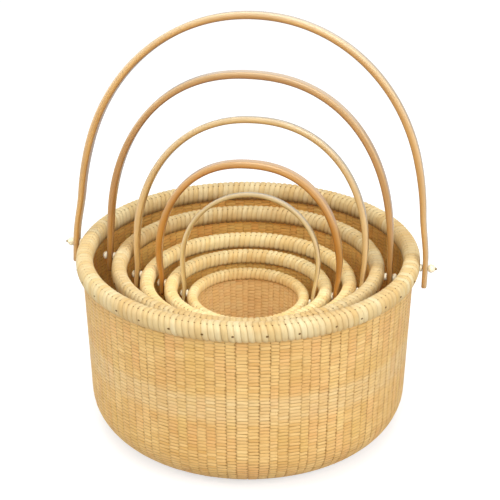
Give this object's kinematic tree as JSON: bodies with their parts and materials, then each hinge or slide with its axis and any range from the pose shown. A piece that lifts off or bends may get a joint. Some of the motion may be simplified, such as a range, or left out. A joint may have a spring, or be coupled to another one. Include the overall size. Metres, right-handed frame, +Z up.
{
  "type": "nest of round rattan baskets",
  "caption": "Nest of round rattan baskets, each with a wooden base, a woven cane wall, a lashed rim and a bentwood handle that swings on pins between bone washers and knobs.",
  "frame": {"origin": "middle of the largest basket's base underside, on the surface that the nest stands on", "axes": "+X along the handle pins, +Y from front to back, the way the handles lean, +Z up"},
  "size_m": [0.391, 0.3552, 0.4353],
  "materials": {
    "base_wood": "varnished turned board",
    "woven_cane": "satin split cane in a plain weave",
    "rim_hoop_wood": "plain split cane",
    "rim_cane": "satin flat cane",
    "bone": "polished bone",
    "pin_brass": "dulled brass",
    "handle14_wood": "satin bent wood",
    "handle11_wood": "satin bent wood",
    "handle9_wood": "satin bent wood",
    "handle7_wood": "satin bent wood",
    "handle5_wood": "satin bent wood"
  },
  "bodies": {
    "basket14": {"basket14_base_board": "base_wood", "basket14_woven_wall": "woven_cane", "basket14_outer_hoop": "rim_hoop_wood", "basket14_inner_hoop": "rim_hoop_wood", "basket14_rim_lashing": "rim_cane", "basket14_right_pin": "pin_brass", "basket14_right_spacer": "bone", "basket14_right_knob": "bone", "basket14_left_pin": "pin_brass", "basket14_left_spacer": "bone", "basket14_left_knob": "bone"},
    "handle14": {"basket14_handle": "handle14_wood"},
    "basket11": {"basket11_base_board": "base_wood", "basket11_woven_wall": "woven_cane", "basket11_outer_hoop": "rim_hoop_wood", "basket11_inner_hoop": "rim_hoop_wood", "basket11_rim_lashing": "rim_cane", "basket11_right_pin": "pin_brass", "basket11_right_spacer": "bone", "basket11_right_knob": "bone", "basket11_left_pin": "pin_brass", "basket11_left_spacer": "bone", "basket11_left_knob": "bone"},
    "handle11": {"basket11_handle": "handle11_wood"},
    "basket9": {"basket9_base_board": "base_wood", "basket9_woven_wall": "woven_cane", "basket9_outer_hoop": "rim_hoop_wood", "basket9_inner_hoop": "rim_hoop_wood", "basket9_rim_lashing": "rim_cane", "basket9_right_pin": "pin_brass", "basket9_right_spacer": "bone", "basket9_right_knob": "bone", "basket9_left_pin": "pin_brass", "basket9_left_spacer": "bone", "basket9_left_knob": "bone"},
    "handle9": {"basket9_handle": "handle9_wood"},
    "basket7": {"basket7_base_board": "base_wood", "basket7_woven_wall": "woven_cane", "basket7_outer_hoop": "rim_hoop_wood", "basket7_inner_hoop": "rim_hoop_wood", "basket7_rim_lashing": "rim_cane", "basket7_right_pin": "pin_brass", "basket7_right_spacer": "bone", "basket7_right_knob": "bone", "basket7_left_pin": "pin_brass", "basket7_left_spacer": "bone", "basket7_left_knob": "bone"},
    "handle7": {"basket7_handle": "handle7_wood"},
    "basket5": {"basket5_base_board": "base_wood", "basket5_woven_wall": "woven_cane", "basket5_outer_hoop": "rim_hoop_wood", "basket5_inner_hoop": "rim_hoop_wood", "basket5_rim_lashing": "rim_cane", "basket5_right_pin": "pin_brass", "basket5_right_spacer": "bone", "basket5_right_knob": "bone", "basket5_left_pin": "pin_brass", "basket5_left_spacer": "bone", "basket5_left_knob": "bone"},
    "handle5": {"basket5_handle": "handle5_wood"}
  },
  "joints": [
    {"name": "handle14_swing", "type": "hinge", "parent": "basket14", "child": "handle14", "pos_m": [0, 0, 0.1885], "axis": [1, 0, 0], "range_deg": [-120, 142]},
    {"name": "basket11_lift", "type": "slide", "parent": "basket14", "child": "basket11", "axis": [0, 0, 1], "range_m": [0, 0.09]},
    {"name": "handle11_swing", "type": "hinge", "parent": "basket11", "child": "handle11", "pos_m": [0, 0, 0.1753], "axis": [1, 0, 0], "range_deg": [-58, 70]},
    {"name": "basket9_lift", "type": "slide", "parent": "basket11", "child": "basket9", "axis": [0, 0, 1], "range_m": [0, 0.055]},
    {"name": "handle9_swing", "type": "hinge", "parent": "basket9", "child": "handle9", "pos_m": [0, 0, 0.1558], "axis": [1, 0, 0], "range_deg": [-20, 50]},
    {"name": "basket7_lift", "type": "slide", "parent": "basket9", "child": "basket7", "axis": [0, 0, 1], "range_m": [0, 0.06]},
    {"name": "handle7_swing", "type": "hinge", "parent": "basket7", "child": "handle7", "pos_m": [0, 0, 0.1479], "axis": [1, 0, 0], "range_deg": [-29, 37]},
    {"name": "basket5_lift", "type": "slide", "parent": "basket7", "child": "basket5", "axis": [0, 0, 1], "range_m": [0, 0.045]},
    {"name": "handle5_swing", "type": "hinge", "parent": "basket5", "child": "handle5", "pos_m": [0, 0, 0.1378], "axis": [1, 0, 0], "range_deg": [-17, 47]}
  ]
}
